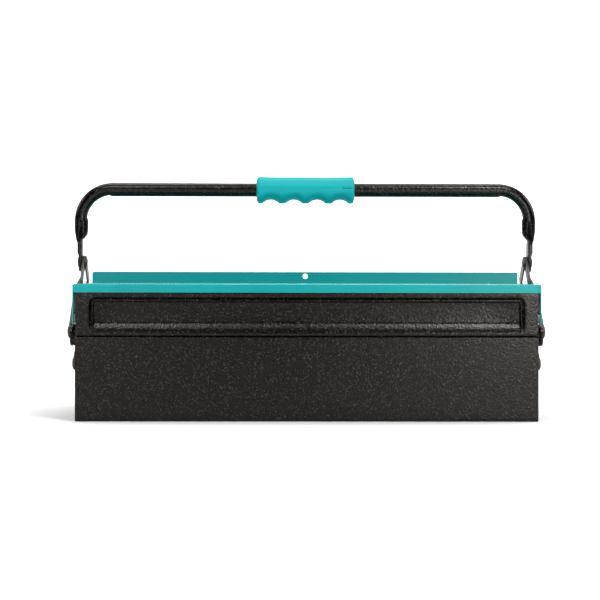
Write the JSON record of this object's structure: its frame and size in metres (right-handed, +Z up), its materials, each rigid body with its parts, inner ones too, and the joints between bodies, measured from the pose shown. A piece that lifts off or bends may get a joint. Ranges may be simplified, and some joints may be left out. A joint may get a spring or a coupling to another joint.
{
  "type": "cantilever tool box",
  "caption": "Steel tool box whose lidded trays swing out on parallel arms over an open base, with a folding tubular carrying handle and a moulded grip.",
  "frame": {"origin": "centre of the base's underside", "axes": "+X towards the right-hand end, +Y towards the rear, +Z up"},
  "size_m": [0.405, 0.2002, 0.208],
  "materials": {
    "black_coat": "black textured powder coat",
    "teal_coat": "smooth teal powder coat",
    "grip_plastic": "smooth moulded teal plastic",
    "link_steel": "grey-black coated steel",
    "pivot_steel": "plated steel"
  },
  "bodies": {
    "base": {"base_tub": "black_coat", "base_end_right": "black_coat", "base_end_left": "black_coat", "end_yoke_right": "black_coat", "end_yoke_left": "black_coat", "yoke_spacers": "pivot_steel", "yoke_rivets": "pivot_steel", "leg_link_front_right": "link_steel", "leg_link_front_left": "link_steel", "leg_link_rear_right": "link_steel", "leg_link_rear_left": "link_steel", "leg_link_rivets": "pivot_steel", "handle_rivets": "pivot_steel", "base_arm_pins": "pivot_steel", "base_arm_washers": "pivot_steel"},
    "handle": {"handle_tube": "black_coat", "handle_grip": "grip_plastic"},
    "front_outer_arms": {"front_arm_outer_right": "link_steel", "front_arm_outer_left": "link_steel"},
    "front_inner_arms": {"front_arm_inner_right": "link_steel", "front_arm_inner_left": "link_steel"},
    "front_tray_box": {"front_tray": "black_coat", "front_tray_end_right": "black_coat", "front_tray_end_left": "black_coat", "front_tray_pins": "pivot_steel", "front_tray_washers": "pivot_steel", "front_lid_washers": "pivot_steel"},
    "front_lid_panel": {"front_lid": "teal_coat", "front_lid_end_right": "teal_coat", "front_lid_end_left": "teal_coat"},
    "rear_outer_arms": {"rear_arm_outer_right": "link_steel", "rear_arm_outer_left": "link_steel"},
    "rear_inner_arms": {"rear_arm_inner_right": "link_steel", "rear_arm_inner_left": "link_steel"},
    "rear_tray_box": {"rear_tray": "black_coat", "rear_tray_end_right": "black_coat", "rear_tray_end_left": "black_coat", "rear_tray_pins": "pivot_steel", "rear_tray_washers": "pivot_steel", "rear_lid_washers": "pivot_steel"},
    "rear_lid_panel": {"rear_lid": "teal_coat", "rear_lid_end_right": "teal_coat", "rear_lid_end_left": "teal_coat"}
  },
  "joints": [
    {"name": "front_tray_swing", "type": "hinge", "parent": "base", "child": "front_outer_arms", "pos_m": [0, -0.09, 0.048], "axis": [1, 0, 0], "range_deg": [0, 120]},
    {"name": "front_tray_level", "type": "hinge", "parent": "front_outer_arms", "child": "front_tray_box", "pos_m": [0, -0.04, 0.076], "axis": [1, 0, 0], "range_deg": [-120, 0]},
    {"name": "front_inner_swing", "type": "hinge", "parent": "base", "child": "front_inner_arms", "pos_m": [0, -0.058, 0.048], "axis": [1, 0, 0], "range_deg": [0, 120]},
    {"name": "front_lid_hinge", "type": "hinge", "parent": "front_tray_box", "child": "front_lid_panel", "pos_m": [0, -0.0935, 0.086], "axis": [1, 0, 0], "range_deg": [0, 100]},
    {"name": "rear_tray_swing", "type": "hinge", "parent": "base", "child": "rear_outer_arms", "pos_m": [0, 0.09, 0.048], "axis": [-1, 0, 0], "range_deg": [0, 120]},
    {"name": "rear_tray_level", "type": "hinge", "parent": "rear_outer_arms", "child": "rear_tray_box", "pos_m": [0, 0.04, 0.076], "axis": [-1, 0, 0], "range_deg": [-120, 0]},
    {"name": "rear_inner_swing", "type": "hinge", "parent": "base", "child": "rear_inner_arms", "pos_m": [0, 0.058, 0.048], "axis": [-1, 0, 0], "range_deg": [0, 120]},
    {"name": "rear_lid_hinge", "type": "hinge", "parent": "rear_tray_box", "child": "rear_lid_panel", "pos_m": [0, 0.0935, 0.086], "axis": [-1, 0, 0], "range_deg": [0, 100]},
    {"name": "handle_fold", "type": "hinge", "parent": "base", "child": "handle", "pos_m": [0, 0, 0.1325], "axis": [1, 0, 0], "range_deg": [-90, 90]}
  ],
  "couplings": [
    {"joint": "front_tray_level", "follows": "front_tray_swing", "ratio": -1},
    {"joint": "front_inner_swing", "follows": "front_tray_swing", "ratio": 1},
    {"joint": "rear_tray_level", "follows": "rear_tray_swing", "ratio": -1},
    {"joint": "rear_inner_swing", "follows": "rear_tray_swing", "ratio": 1}
  ]
}
